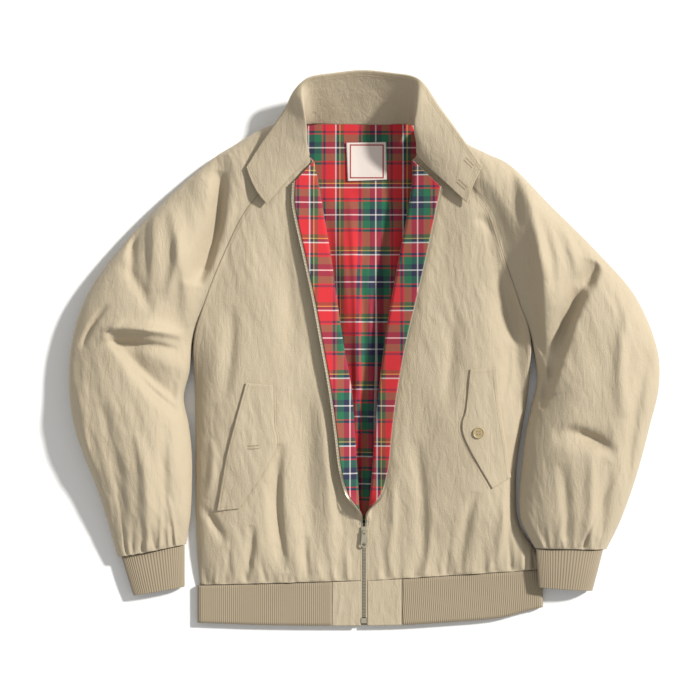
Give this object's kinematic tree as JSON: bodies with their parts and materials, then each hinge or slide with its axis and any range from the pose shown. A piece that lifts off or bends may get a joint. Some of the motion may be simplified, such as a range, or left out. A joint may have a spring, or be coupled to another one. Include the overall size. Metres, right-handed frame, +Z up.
{
  "type": "zip blouson jacket",
  "caption": "Light zip-front blouson with raglan sleeves, ribbed cuffs and hem and a tartan lining, laid flat on its back with the zip half open.",
  "frame": {"origin": "on the surface that it lies on, under the middle of the whole outline", "axes": "+Z up from the surface, +Y towards the collar, +X towards the wearer's left"},
  "size_m": [0.7926, 0.7452, 0.0657],
  "materials": {
    "shell": "light cotton-nylon plain weave with a faint sheen",
    "rib": "fine ribbed knit",
    "lining": "brushed cotton in a red traditional tartan",
    "label": "plain woven label with a border",
    "tape": "woven zip tape",
    "metal": "pale antique brass",
    "horn": "horn-like button with four holes"
  },
  "bodies": {
    "jacket": {"back": "shell", "front_right": "shell", "front_left": "shell", "sleeve_right": "shell", "sleeve_left": "shell", "collar": "shell", "placket_right": "shell", "placket_left": "shell", "pocket_flap_right": "shell", "pocket_flap_left": "shell", "cuff_right": "rib", "cuff_left": "rib", "hem_rib": "rib", "back_lining": "lining", "front_lining_right": "lining", "front_lining_left": "lining", "label": "label", "zip_tape_right": "tape", "zip_tape_left": "tape", "zip_teeth_right": "metal", "zip_teeth_left": "metal", "slider": "metal", "zip_box": "metal", "pocket_button_left": "horn"},
    "pull_tab": {"pull_tab": "metal"}
  },
  "joints": [
    {"name": "pull_swing", "type": "hinge", "parent": "jacket", "child": "pull_tab", "pos_m": [0, -0.245, 0.0164], "axis": [-1, 0, 0], "range_deg": [0, 150]}
  ]
}
